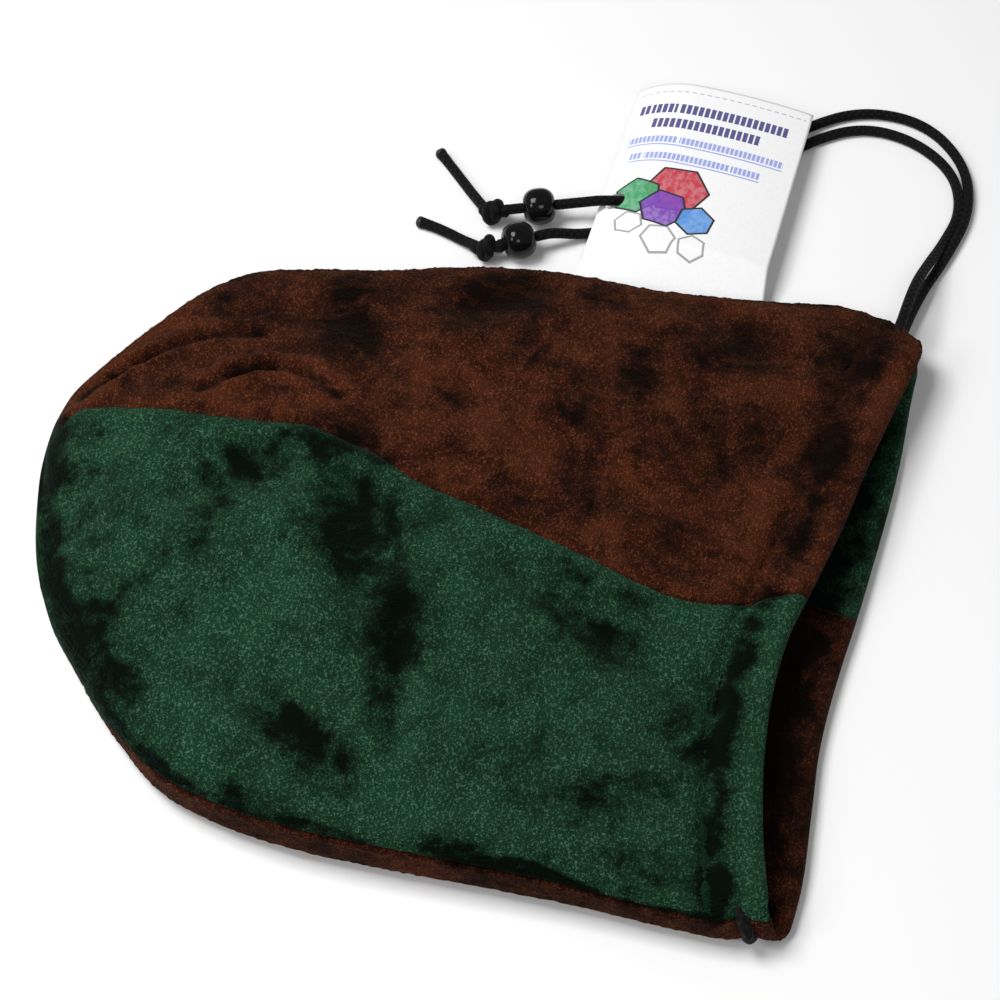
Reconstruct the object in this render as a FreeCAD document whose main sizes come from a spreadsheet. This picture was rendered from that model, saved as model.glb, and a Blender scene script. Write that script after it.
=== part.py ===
import FreeCAD, Part
import math
import os

import Sketcher

# Drawstring dice bag: four velvet gores sewn into a flat pouch, a turned-in casing round the mouth,
# one cord through the casing with two beads, two knots and a punched hang tag.
# Frame: +X along the bag towards its mouth, +Y towards the side the cord leaves, +Z up.
# The origin is on the surface the bag lies on, under the middle of the bag.

doc = FreeCAD.newDocument("dice_bag")
sheet = doc.addObject("Spreadsheet::Sheet", "sizes")

driving_sizes = [
    ("bag_length", 214, "gathered end to the far corner of the mouth"),
    ("bag_width", 186, "side fold to side fold"),
    ("bag_height", 25, "at the middle of the pouch"),
    ("round_depth", 90, "length of the rounded bottom"),
    ("crown_end", 15, "x where the full height ends"),
    ("band_start", 70, "x where the flat mouth band starts"),
    ("fabric", 1.2, "thickness of the velvet with its pile"),
    ("mouth_gap", 5.4, "free height between the two hems"),
    ("mouth_slant", 5, "turn of the mouth line, degrees"),
    ("front_setback", 4.5, "front layer ends this far behind the back layer"),
    ("casing_width", 14, "mouth fold to stitching"),
    ("thread", 0.8, "width of a sewn line"),
    ("thread_height", 0.4, "height of a sewn line"),
    ("cord_diameter", 2.8, "braided drawstring"),
    ("cord_clearance", 0.3, "between the cord and its casing"),
    ("slit_width", 5, "width of the cord slits in the side folds"),
    ("cord_inset", 6.5, "mouth fold to the cord's centre"),
    ("bead_diameter", 10, "at the middle of the bead"),
    ("bead_length", 9, "along its bore"),
    ("bead_rounding", 2.9, "radius of the bead's shoulders"),
    ("bead_clearance", 0.3, "between the cord and a bead's bore"),
    ("knot_length", 7.8, "along the cord"),
    ("knot_height", 7.4, "across the cord"),
    ("tip_diameter", 3.2, "heat-sealed end of a tail"),
    ("tip_length", 1.6, "heat-sealed end of a tail"),
    ("tag_length", 76.2, "hang tag"),
    ("tag_shoulder", 18.5, "curled part of the tag's width"),
    ("tag_flat", 32.3, "rest of the tag's width"),
    ("tag_thickness", 0.35, "card"),
    ("tag_hole_clearance", 1.6, "between the cord and the edge of its punched hole"),
    ("tag_hole_inset", 5, "from the tag's edge, along the card"),
    ("tag_curl", 42, "slope of the tag's curled edge, degrees"),
    ("tag_lean", 4.5, "turn of the tag, degrees"),
]
for row, (alias, value, meaning) in enumerate(driving_sizes, 1):
    sheet.set(f"A{row}", alias)
    sheet.set(f"B{row}", str(value))
    sheet.set(f"C{row}", meaning)
    sheet.setAlias(f"B{row}", alias)
doc.recompute()
size = {alias: float(sheet.get(alias)) for alias, value, meaning in driving_sizes}

vector = FreeCAD.Vector
up = vector(0, 0, 1)
slant = math.radians(size["mouth_slant"])
along = vector(math.sin(slant), math.cos(slant), 0)  # along the casing, towards the cord's exit
outward = vector(math.cos(slant), -math.sin(slant), 0)  # out of the mouth
beyond = 400.0  # further than any part of the bag
tiny = 0.001  # lengths nearer than this are the same
cord_radius = size["cord_diameter"] / 2
tunnel = size["cord_diameter"] + 2 * size["cord_clearance"]
casing_height = 2 * size["fabric"] + tunnel
mouth_height = 2 * casing_height + size["mouth_gap"]
seam_height = mouth_height / 2
half_width = size["bag_width"] / 2
pole_x = -size["bag_length"] / 2
mouth_corner = vector(size["bag_length"] / 2, half_width, 0)


def add_shape(label, shape, placement=None):
    """A sub-part whose shape is worked out here, as a plain feature of the document."""
    feature = doc.addObject("Part::Feature", label)
    feature.Label = label
    feature.Shape = shape
    feature.Placement = placement or FreeCAD.Placement()
    return feature


# ---- fabric -------------------------------------------------------------------------------------


outline_power = 1.8  # roundness of the gathered end in plan
end_shift, shift_power = 8, 1.3  # how far, and how soon, the gathered end leans to the far side
crown_power = 2.2  # how soon the crown rises from the gathered end
fold_share = 0.44  # side fold's radius over the height, rising to a half at the mouth


def pouch_measures(x):
    """Middle, half width, height and fold radius of the bag at x."""
    rounded = min(1.0, (x - pole_x) / size["round_depth"])
    left_over = 1 - rounded
    width = half_width * (1 - left_over**outline_power) ** (1 / outline_power)
    middle = end_shift * left_over**shift_power
    height = size["bag_height"] * math.sqrt(1 - left_over**crown_power)
    fold = fold_share * height
    if x > size["crown_end"]:
        falling = min(1.0, (x - size["crown_end"]) / (size["band_start"] - size["crown_end"]))
        ease = (1 - math.cos(math.pi * falling)) / 2
        height += (mouth_height - height) * ease
        fold = (fold_share + (0.5 - fold_share) * ease) * height
    return middle, width, height, fold


def pouch_section(x, inset, measured_at):
    """Closed outline across the bag: flat underside, two round folds and a crowned top."""
    middle, width, height, fold = pouch_measures(measured_at)
    radius = fold - inset
    far, near = middle + width - fold, middle - width + fold
    low, edge, crown = inset, 2 * fold - inset, height - inset
    under = Part.makeLine(vector(x, near, low), vector(x, far, low))
    far_fold = Part.Arc(vector(x, far, low), vector(x, far + radius, fold), vector(x, far, edge))
    near_fold = Part.Arc(vector(x, near, edge), vector(x, near - radius, fold), vector(x, near, low))
    top = Part.BezierCurve()
    top.setPoles([vector(x, far, edge), vector(x, middle, 2 * crown - edge), vector(x, near, edge)])
    return Part.Wire([under, far_fold.toShape(), top.toShape(), near_fold.toShape()])


end_share = 0.04  # the gathered end is blunt, as wide as the rounded outline is this far in
round_shares = [0, 0.1, 0.19, 0.32, 0.5, 0.73, 1.0]
stations = [pole_x + share * size["round_depth"] for share in round_shares]
for share in (0, 0.35, 0.7, 1):
    stations.append(size["crown_end"] + share * (size["band_start"] - size["crown_end"]))
stations.append(mouth_corner.x + size["casing_width"])


def pouch_solid(inset):
    """The bag's outer form, moved in by inset on every side but the mouth."""
    places = [(x, x) for x in stations]
    places[0] = (pole_x + inset, pole_x + end_share * size["round_depth"])
    sections = [pouch_section(x, inset, measured_at) for x, measured_at in places]
    return Part.makeLoft(sections, True, True)


outer = pouch_solid(0)
inner = pouch_solid(size["fabric"])
thread_core = pouch_solid(size["fabric"] + size["thread_height"])
fabric_shell = outer.cut(inner)
thread_shell = inner.cut(thread_core)


def mouth_x(y, behind):
    """x of the mouth line at y, moved into the bag by behind."""
    return mouth_corner.x - (half_width - y) * math.tan(slant) - behind / math.cos(slant)


def plan_prism(points, low, high):
    """A prism over the outline given in plan."""
    corners = [vector(x, y, low) for x, y in points]
    face = Part.Face(Part.makePolygon(corners + corners[:1]))
    return face.extrude(up * (high - low))


# Seams from the gathered end to the mouth, in plan.
front_seam = [(pole_x, 17), (-38, 18.5), (58, -16.5), (mouth_x(-8.5, size["front_setback"]), -8.5)]
back_seam = [(pole_x, 16), (-30, 4), (mouth_x(2, 0), 2)]


def panel_outline(seam, behind, side):
    """Plan outline of one gore: its seam, the mouth line and the bag's side, 1 or -1."""
    end = side * beyond / 2
    last = (mouth_x(end, behind), end)
    return [(-beyond, seam[0][1])] + seam + [last, (-beyond, end)]


layers = {
    "front": {"behind": size["front_setback"], "low": seam_height, "high": beyond, "seam": front_seam,
              "cord_z": mouth_height - size["fabric"] - tunnel / 2},
    "back": {"behind": 0.0, "low": -1.0, "high": seam_height, "seam": back_seam,
             "cord_z": size["fabric"] + tunnel / 2},
}
gores = {"front_brown": ("front", 1), "front_green": ("front", -1),
         "back_brown": ("back", -1), "back_green": ("back", 1)}


def cord_point(layer, distance):
    """A point on the cord's line in a casing, at this distance along it from y = 0."""
    behind = layers[layer]["behind"] + size["cord_inset"]
    start = vector(mouth_x(0, behind), 0, layers[layer]["cord_z"])
    return start + along * distance


def along_distance(y):
    return y / math.cos(slant)


def slanted_box(middle, length, width, height):
    """A box lying along the casing: width out of the mouth, height up, about its middle."""
    box = Part.makeBox(width, length, height, vector(-width / 2, -length / 2, -height / 2))
    box.Placement = FreeCAD.Placement(middle, FreeCAD.Rotation(up, -size["mouth_slant"]))
    return box


# The cord leaves through a slit in each layer, and shows at a slit in the opposite side fold.
slits = []
for layer in layers:
    middle = cord_point(layer, along_distance(half_width))
    slits.append(slanted_box(middle, casing_height * 3, size["slit_width"], tunnel))
turn_middle = (cord_point("front", along_distance(-half_width))
               + cord_point("back", along_distance(-half_width))) / 2
slits.append(slanted_box(turn_middle, casing_height * 1.5, size["slit_width"], size["slit_width"]))

for gore, (layer, side) in gores.items():
    place = layers[layer]
    outline = panel_outline(place["seam"], place["behind"], side)
    panel = fabric_shell.common(plan_prism(outline, place["low"], place["high"]))
    for slit in slits:
        panel = panel.cut(slit)
    add_shape(gore + "_panel", panel.Solids[0] if len(panel.Solids) == 1 else panel)


# ---- casing hems --------------------------------------------------------------------------------

hem_margin = 1.5  # the hems stop this far before the side folds start to curve
turn_start = -half_width + seam_height + hem_margin  # y where the cord starts to turn between layers
hem_far = half_width - seam_height - hem_margin


def add_box(name, length, width, height, base):
    """A Part box whose sizes are expressions on the sheet, laid along the casing."""
    box = doc.addObject("Part::Box", name)
    for key, expression in (("Length", width), ("Width", length), ("Height", height)):
        box.setExpression(key, expression)
    box.Placement = FreeCAD.Placement(base, FreeCAD.Rotation(up, -size["mouth_slant"]))
    return box


for gore, (layer, side) in gores.items():
    place = layers[layer]
    seam_y = place["seam"][-1][1]
    start_y, end_y = (seam_y, hem_far) if side > 0 else (turn_start + hem_margin, seam_y)
    length = along_distance(end_y - start_y)
    hem_low = mouth_height - casing_height if layer == "front" else size["fabric"]
    tunnel_low = hem_low + size["fabric"] if layer == "front" else hem_low
    edge = vector(mouth_x(0, place["behind"]), 0, 0) + along * along_distance(start_y)
    base = edge - outward * size["casing_width"]
    body = add_box(gore + "_hem_body", f"{length} mm", "sizes.casing_width",
                   "sizes.cord_diameter + 2 * sizes.cord_clearance + sizes.fabric", base + up * hem_low)
    hollow_base = base + outward * size["fabric"] + up * tunnel_low
    hollow = add_box(gore + "_tunnel", f"{length} mm", "sizes.casing_width - 2 * sizes.fabric",
                     "sizes.cord_diameter + 2 * sizes.cord_clearance", hollow_base)
    hem = doc.addObject("Part::Cut", gore + "_hem")
    hem.Label = gore + "_hem"
    hem.Base = body
    hem.Tool = hollow


# ---- sewing -------------------------------------------------------------------------------------

stitch_inset = size["casing_width"] - size["fabric"] / 2
for layer, place in layers.items():
    start_y = turn_start + 2 * hem_margin
    edge = vector(mouth_x(0, place["behind"]), 0, 0) + along * along_distance(start_y)
    low = mouth_height - casing_height - size["thread_height"] if layer == "front" else casing_height
    base = edge - outward * (stitch_inset + size["thread"] / 2) + up * low
    row = add_box(layer + "_casing_stitching", f"{along_distance(hem_far - hem_margin - start_y)} mm",
                  "sizes.thread", "sizes.thread_height", base)
    row.Label = layer + "_casing_stitching"

for layer, place in layers.items():
    half = size["thread"] / 2
    strip = [(x, y + half) for x, y in place["seam"]] + [(x, y - half) for x, y in place["seam"][::-1]]
    low, high = (seam_height + half, beyond) if layer == "front" else (-1.0, seam_height - half)
    thread = thread_shell.common(plan_prism(strip, low, high))
    end = mouth_x(0, place["behind"] + size["casing_width"] + size["thread"])
    cutter = slanted_box(vector(end + beyond / 2, 0, 0), beyond, beyond, beyond)
    add_shape(layer + "_seam_thread", thread.cut(cutter))

for name, side in (("far", 1), ("near", -1)):
    half = size["thread"] / 2
    end = mouth_x(0, size["front_setback"] + size["casing_width"] + size["thread"])
    pole_y = pouch_measures(pole_x)[0]
    corners = [(-beyond, pole_y), (end, pole_y), (end, side * beyond), (-beyond, side * beyond)]
    slab = plan_prism(corners, seam_height - half, seam_height + half)
    cutter = slanted_box(vector(end + beyond / 2, 0, 0), beyond, beyond, beyond)
    add_shape(name + "_side_seam_thread", thread_shell.common(slab).cut(cutter))


# ---- drawstring ---------------------------------------------------------------------------------


def tube(label, edges, radius):
    """A round tube along joined edges."""
    path = Part.Wire(edges)
    first = edges[0]
    start = first.valueAt(first.FirstParameter)
    direction = first.tangentAt(first.FirstParameter)
    profile = Part.Wire(Part.makeCircle(radius, start, direction))
    solid = path.makePipeShell([profile], True, True)
    print(f"{label}: length {path.Length:.1f}, volume over section times length "
          f"{solid.Volume / (math.pi * radius**2 * path.Length):.4f}")
    return add_shape(label, solid)


def rounded_route(label, points):
    """Straight runs joined by tangent arcs, each as large as 0.45 of its shorter run allows."""
    edges = []
    here = points[0]
    radii = []
    for before, corner, after in zip(points, points[1:], points[2:]):
        back, on = (before - corner), (after - corner)
        reach = 0.45 * min(back.Length, on.Length)
        turn = math.pi - back.getAngle(on)
        radius = reach / math.tan(turn / 2)
        back.normalize()
        on.normalize()
        inside = (back + on).normalize()
        middle = corner + inside * (radius / math.cos(turn / 2) - radius)
        edges.append(Part.makeLine(here, corner + back * reach))
        here = corner + on * reach
        edges.append(Part.Arc(corner + back * reach, middle, here).toShape())
        radii.append(radius)
    edges.append(Part.makeLine(here, points[-1]))
    print(f"{label}: smallest radius {min(radii):.1f}, radii", " ".join(f"{r:.0f}" for r in radii))
    return edges


# Inside the bag: along the front casing, down between the layers and back along the back casing.
exit_distance = along_distance(half_width + 1)
turn_distance = along_distance(turn_start)
front_turn, back_turn = cord_point("front", turn_distance), cord_point("back", turn_distance)
turn_reach = (front_turn - back_turn).Length / 2
turn_top = (front_turn + back_turn) / 2 - along * turn_reach
front_exit, back_exit = cord_point("front", exit_distance), cord_point("back", exit_distance)
casing_cord = [
    Part.makeLine(front_exit, front_turn),
    Part.Arc(front_turn, turn_top, back_turn).toShape(),
    Part.makeLine(back_turn, back_exit),
]
tube("drawstring_in_casing", casing_cord, cord_radius)

# The two free legs lie beside the bag. Their points are measured from the mouth's far corner:
# x, y and height of the cord's centre above where it lies.
bead_lift = size["bead_diameter"] / 2 - cord_radius
bead_rest = 0.05  # the lower bead's side is this far over the floor
upper_bead_rest = 0.35  # the upper bead's, as it is tilted
upper_bead_at = mouth_corner + vector(-107.5, 25, bead_lift + cord_radius + upper_bead_rest)
lower_bead_at = mouth_corner + vector(-110.6, 12, bead_lift + cord_radius + bead_rest)
hole_reach = 20.6  # from the upper bead to the tag's hole, along the cord
cord_over_hole = 1.088  # the cord's centre passes this far over the hole's
tag_edge_height = size["cord_diameter"] + size["cord_clearance"]  # the lower cord passes under the tag
curl = math.radians(size["tag_curl"])
shoulder_radius = size["tag_shoulder"] / curl
hole_angle = curl - size["tag_hole_inset"] / shoulder_radius
hole_height = tag_edge_height + shoulder_radius * (math.cos(hole_angle) - math.cos(curl))
upper_slope = math.asin((hole_height + cord_over_hole - upper_bead_at.z) / hole_reach)
upper_line = vector(math.cos(math.radians(14)), math.sin(math.radians(14)), math.tan(upper_slope))
lower_line = vector(math.cos(math.radians(28)), math.sin(math.radians(28)), 0)
upper_line.normalize()
knot_half = size["knot_length"] / 2
bead_half = size["bead_length"] / 2
upper_knot_gap, lower_knot_gap = 4.3, 0.2  # cord that shows between each bead and its knot
upper_straight, lower_straight = 19.5, 9.5  # cord in line with each bead, on the side away from its knot
upper_knot_at = upper_bead_at - upper_line * (bead_half + knot_half + upper_knot_gap)
lower_knot_at = lower_bead_at - lower_line * (bead_half + knot_half + lower_knot_gap)

upper_offsets = [(-4.2, 14, 0.1), (2.2, 31, 0), (7, 49, 0), (4, 67, 0), (-8.5, 81, 0), (-26.5, 82.5, 0),
                 (-42, 72, 0), (-54, 58.5, 0), (-64, 46.5, 0), (-75.5, 35.4, 0)]
lower_offsets = [(-10.3, 12, 11), (-6.8, 24, 4.5), (-0.7, 35.5, 0), (2.5, 48, 0), (-1.5, 61.5, 0),
                 (-12, 71.5, 0), (-25, 76.8, 0), (-38.5, 68.3, 0), (-50, 54.5, 0), (-60, 42, 0),
                 (-71, 32, 0), (-82.5, 26.3, 0), (-94, 20.8, 0)]


def lying(offsets):
    return [mouth_corner + vector(x, y, lift + cord_radius) for x, y, lift in offsets]


upper_route = [back_exit] + lying(upper_offsets)
upper_route += [upper_bead_at + upper_line * upper_straight, upper_knot_at + upper_line * (knot_half - 1)]
lower_route = [front_exit] + lying(lower_offsets)
lower_route += [lower_bead_at + lower_line * lower_straight, lower_knot_at + lower_line * (knot_half - 1)]
tube("cord_upper", rounded_route("cord_upper", upper_route), cord_radius)
tube("cord_lower", rounded_route("cord_lower", lower_route), cord_radius)

knot_z = size["knot_height"] / 2 + bead_rest
tail_offsets = {
    "upper": [(-121.2, 22.5, 1.9), (-125.5, 28, 0.5), (-130.5, 34.2, 0), (-135, 39.5, 0), (-138.4, 43.4, 0)],
    "lower": [(-120, 8.9, 2), (-125, 11.6, 0.5), (-130.3, 14.3, 0), (-135, 16, 0), (-138.6, 16.8, 0)],
}
knots = {"upper": (upper_knot_at, upper_line), "lower": (lower_knot_at, lower_line)}
for name, (centre, line) in knots.items():
    knot = doc.addObject("Part::Ellipsoid", "knot_" + name)
    knot.Label = "knot_" + name
    knot.setExpression("Radius1", "sizes.knot_height / 2")
    knot.setExpression("Radius2", "sizes.knot_length / 2")
    knot.setExpression("Radius3", "sizes.knot_height / 2")
    heading = math.degrees(math.atan2(line.y, line.x))
    knot.Placement = FreeCAD.Placement(vector(centre.x, centre.y, knot_z), FreeCAD.Rotation(up, heading))
    route = lying(tail_offsets[name])
    tube("tail_" + name, rounded_route("tail_" + name, route), cord_radius)
    tip = doc.addObject("Part::Cone", "tip_" + name)
    tip.Label = "tip_" + name
    tip.setExpression("Radius1", "sizes.cord_diameter / 2")
    tip.setExpression("Radius2", "sizes.tip_diameter / 2")
    tip.setExpression("Height", "sizes.tip_length")
    heading = route[-1] - route[-2]
    lift = vector(0, 0, (size["tip_diameter"] - size["cord_diameter"]) / 2)
    tip.Placement = FreeCAD.Placement(route[-1] + lift, FreeCAD.Rotation(up, heading))


# ---- beads --------------------------------------------------------------------------------------


def add_bead(name, centre, line):
    """A barrel bead with round shoulders, turned about its bore, which lies along the cord."""
    body = doc.addObject("PartDesign::Body", name)
    body.Label = name
    sketch = body.newObject("Sketcher::SketchObject", name + "_profile")
    plane = [item for item in body.Origin.OriginFeatures if item.Role == "XZ_Plane"][0]
    sketch.AttachmentSupport = [(plane, "")]
    sketch.MapMode = "FlatFace"
    bore, side, half = cord_radius + size["bead_clearance"], size["bead_diameter"] / 2, size["bead_length"] / 2
    corners = [vector(bore, -half, 0), vector(bore, half, 0), vector(side, half, 0), vector(side, -half, 0)]
    for start, end in zip(corners, corners[1:] + corners[:1]):
        sketch.addGeometry(Part.LineSegment(start, end), False)
    for constraint in (("Coincident", 0, 2, 1, 1), ("Coincident", 1, 2, 2, 1), ("Coincident", 2, 2, 3, 1),
                       ("Coincident", 3, 2, 0, 1), ("Horizontal", 1), ("Horizontal", 3),
                       ("Vertical", 2), ("Symmetric", 0, 1, 0, 2, -1)):
        sketch.addConstraint(Sketcher.Constraint(*constraint))
    measures = (("DistanceY", (0, 1, 0, 2), size["bead_length"], "sizes.bead_length"),
                ("DistanceX", (-1, 1, 0, 1), bore, "sizes.cord_diameter / 2 + sizes.bead_clearance"),
                ("DistanceX", (-1, 1, 1, 2), side, "sizes.bead_diameter / 2"))
    for kind, points, value, expression in measures:
        index = sketch.addConstraint(Sketcher.Constraint(kind, *points, value))
        sketch.setExpression(f"Constraints[{index}]", expression)
    turned = body.newObject("PartDesign::Revolution", name + "_turned")
    turned.Profile = sketch
    turned.ReferenceAxis = (sketch, ["V_Axis"])
    turned.Angle = 360
    doc.recompute()
    rims = [f"Edge{number}" for number, edge in enumerate(turned.Shape.Edges, 1)
            if isinstance(edge.Curve, Part.Circle) and abs(edge.Curve.Radius - side) < tiny]
    rounded = body.newObject("PartDesign::Fillet", name + "_rounded")
    rounded.Base = (turned, rims)
    rounded.setExpression("Radius", "sizes.bead_rounding")
    body.Tip = rounded
    body.Placement = FreeCAD.Placement(centre, FreeCAD.Rotation(up, line))


add_bead("bead_upper", upper_bead_at, upper_line)
add_bead("bead_lower", lower_bead_at, lower_line)


# ---- hang tag -----------------------------------------------------------------------------------


def tag_section(s, edge_height, curl):
    """Outline of the card across the tag at s: a curled shoulder, then a nearly flat rest."""
    angle = math.radians(curl)
    shoulder = size["tag_shoulder"] / angle
    rest = 7 * shoulder
    swing = size["tag_flat"] / rest
    top_w = shoulder * math.sin(angle)
    top_z = edge_height + shoulder * (1 - math.cos(angle))

    def card_arcs(extra):
        def first(a):
            r = shoulder + extra
            return vector(top_w - r * math.sin(a), s, top_z - shoulder + r * math.cos(a))

        def second(a):
            r = rest + extra
            return vector(top_w + r * math.sin(a), s, top_z - rest + r * math.cos(a))

        return [first(angle), first(angle / 2), first(0), second(swing / 2), second(swing)]

    under, over = card_arcs(0), card_arcs(size["tag_thickness"])
    return Part.Wire([
        Part.Arc(*under[:3]).toShape(), Part.Arc(*under[2:]).toShape(), Part.makeLine(under[4], over[4]),
        Part.Arc(*over[:1:-1]).toShape(), Part.Arc(*over[2::-1]).toShape(), Part.makeLine(over[0], under[0]),
    ])


tag_top, tag_bend = 46, -14  # the card's top edge and where it starts to flatten, from the hole
tag_bottom = tag_top - size["tag_length"]
tag_solid = Part.makeLoft([
    tag_section(tag_top, tag_edge_height, size["tag_curl"]),
    tag_section(tag_bend, tag_edge_height, size["tag_curl"]),
    tag_section(tag_bottom, 0.1, 2),
], True, True)
hole_normal = vector(-math.sin(hole_angle), 0, math.cos(hole_angle))
hole_at = vector(shoulder_radius * (math.sin(curl) - math.sin(hole_angle)), 0, hole_height)
punch = Part.makeCylinder(cord_radius + size["tag_hole_clearance"], 6, hole_at - hole_normal * 3, hole_normal)
tag_solid = tag_solid.cut(punch)
hole_on_cord = upper_bead_at + upper_line * hole_reach
tag_turn = FreeCAD.Rotation(up, -size["tag_lean"])
tag_base = vector(hole_on_cord.x, hole_on_cord.y, 0) - tag_turn.multVec(vector(hole_at.x, hole_at.y, 0))
add_shape("hang_tag", tag_solid, FreeCAD.Placement(tag_base, tag_turn))


# ---- checks and files ---------------------------------------------------------------------------

doc.recompute()
for item in doc.Objects:
    if "Invalid" in item.State or "Error" in item.State:
        raise RuntimeError(f"{item.Label} failed: {item.State}")

nodes = [gore + kind for gore in gores for kind in ("_panel", "_hem")]
nodes += ["front_casing_stitching", "back_casing_stitching", "front_seam_thread", "back_seam_thread",
          "far_side_seam_thread", "near_side_seam_thread", "drawstring_in_casing", "cord_upper",
          "cord_lower", "knot_upper", "knot_lower", "tail_upper", "tail_lower", "tip_upper", "tip_lower",
          "bead_upper", "bead_lower", "hang_tag"]
os.makedirs("parts", exist_ok=True)
by_label = {item.Label: item for item in doc.Objects}
for node in nodes:
    shape = by_label[node].Shape
    if shape.isNull() or not shape.isValid():
        raise RuntimeError(f"{node} has no valid shape")
for node in nodes:
    shape = by_label[node].Shape
    shape.exportStep(f"parts/{node}.step")
    box = shape.BoundBox
    print(f"{node}: {len(shape.Solids)} solid, {shape.Volume:.0f} mm3, x {box.XMin:.1f}..{box.XMax:.1f}, "
          f"y {box.YMin:.1f}..{box.YMax:.1f}, z {box.ZMin:.2f}..{box.ZMax:.2f}")
print(f"upper bead {upper_bead_at}, lower bead {lower_bead_at}, hole {hole_on_cord}, height {hole_at.z:.2f}")
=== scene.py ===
import bpy
import math
import numpy as np
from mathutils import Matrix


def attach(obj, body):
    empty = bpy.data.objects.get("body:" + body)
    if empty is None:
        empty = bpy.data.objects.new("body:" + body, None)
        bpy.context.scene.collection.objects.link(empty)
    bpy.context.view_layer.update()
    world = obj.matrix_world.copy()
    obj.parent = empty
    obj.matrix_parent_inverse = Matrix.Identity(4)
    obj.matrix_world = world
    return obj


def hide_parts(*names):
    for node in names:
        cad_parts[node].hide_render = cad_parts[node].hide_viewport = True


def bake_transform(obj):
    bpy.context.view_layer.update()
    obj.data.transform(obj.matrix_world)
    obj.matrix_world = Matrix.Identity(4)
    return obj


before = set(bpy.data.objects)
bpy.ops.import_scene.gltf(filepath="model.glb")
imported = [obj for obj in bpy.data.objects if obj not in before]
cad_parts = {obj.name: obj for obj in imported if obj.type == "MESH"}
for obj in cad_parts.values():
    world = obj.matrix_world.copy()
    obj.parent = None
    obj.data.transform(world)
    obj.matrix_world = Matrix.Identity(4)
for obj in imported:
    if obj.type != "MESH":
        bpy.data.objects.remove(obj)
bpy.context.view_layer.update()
mm = 0.001


# Cubic Hermite line through the stops, with slopes from the neighbours' differences.
def smoothLine(stops, at):
    x = np.array([s[0] for s in stops], float)
    y = np.array([s[1] for s in stops], float)
    slope = np.gradient(y, x)
    at = np.clip(at, x[0], x[-1])
    i = np.clip(np.searchsorted(x, at, side="right") - 1, 0, len(x) - 2)
    gap = x[i + 1] - x[i]
    t = (at - x[i]) / gap
    rise = (1 + 2 * t) * (1 - t) ** 2 * y[i] + t * t * (3 - 2 * t) * y[i + 1]
    return rise + gap * (t * (1 - t) ** 2 * slope[i] - t * t * (1 - t) * slope[i + 1])


# 0 below the first value, 1 above the second, with the curve t * t * (3 - 2 t) between them.
def ease(low, high, at):
    t = np.clip((at - low) / (high - low), 0, 1)
    return t * t * (3 - 2 * t)


# Puts points in millimetres and lists of corners into a new object at the origin.
def addMesh(name, points, faces, uv=None, smooth=True):
    mesh = bpy.data.meshes.new(name)
    mesh.from_pydata((np.asarray(points, float) * mm).tolist(), [], faces)
    if uv is not None:
        corner = np.zeros(len(mesh.loops), np.int32)
        mesh.loops.foreach_get("vertex_index", corner)
        layer = mesh.uv_layers.new(name="lie")
        layer.data.foreach_set("uv", np.asarray(uv, np.float32)[corner].ravel())
    mesh.polygons.foreach_set("use_smooth", np.full(len(mesh.polygons), smooth))
    mesh.update()
    piece = bpy.data.objects.new(name, mesh)
    bpy.context.scene.collection.objects.link(piece)
    return piece


# Quads between neighbouring rows and columns of a grid of points numbered row by row.
def gridFaces(rows, columns, wrapRows=False, wrapColumns=False):
    r = np.arange(rows if wrapRows else rows - 1)[:, None]
    c = np.arange(columns if wrapColumns else columns - 1)[None, :]
    right = (c + 1) % columns
    below = (r + 1) % rows
    corners = (r * columns + c, r * columns + right, below * columns + right, below * columns + c)
    return np.stack([np.broadcast_to(k, (r.size, c.size)) for k in corners], -1).reshape(-1, 4)


# How far each point of a line lies from its start: the running sum of the steps.
def farAlong(line):
    return np.r_[0, np.cumsum(np.linalg.norm(np.diff(line, axis=0), axis=1))]


# Unit vectors along a line of points, and two square to it that don't twist about it: the side
# of the point before, less its part along the line.
def carryFrames(line):
    ahead = np.gradient(line, axis=0)
    ahead /= np.linalg.norm(ahead, axis=1)[:, None]
    side = np.empty_like(line)
    first = np.cross(ahead[0], (0, 0, 1))
    side[0] = first / np.linalg.norm(first)
    for i in range(1, len(line)):
        turned = side[i - 1] - ahead[i] * (side[i - 1] @ ahead[i])
        side[i] = turned / np.linalg.norm(turned)
    return ahead, side, np.cross(ahead, side)


# Points every so far apart along a NURBS of order 3 with these control points, in millimetres.
def nurbsLine(route, step):
    curve = bpy.data.curves.new("route", "CURVE")
    curve.dimensions = "3D"
    curve.resolution_u = 24
    spline = curve.splines.new("NURBS")
    spline.points.add(len(route) - 1)
    spline.points.foreach_set("co", np.c_[np.array(route, float), np.ones(len(route))].ravel())
    spline.order_u = 3
    spline.use_endpoint_u = True
    carrier = bpy.data.objects.new("route", curve)
    mesh = bpy.data.meshes.new_from_object(carrier)
    line = np.zeros(len(mesh.vertices) * 3)
    mesh.vertices.foreach_get("co", line)
    line = line.reshape(-1, 3)
    bpy.data.objects.remove(carrier)
    bpy.data.curves.remove(curve)
    bpy.data.meshes.remove(mesh)
    far = farAlong(line)
    even = np.linspace(0, far[-1], max(4, int(far[-1] / step) + 1))
    return np.stack([np.interp(even, far, line[:, k]) for k in range(3)], -1)


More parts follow.
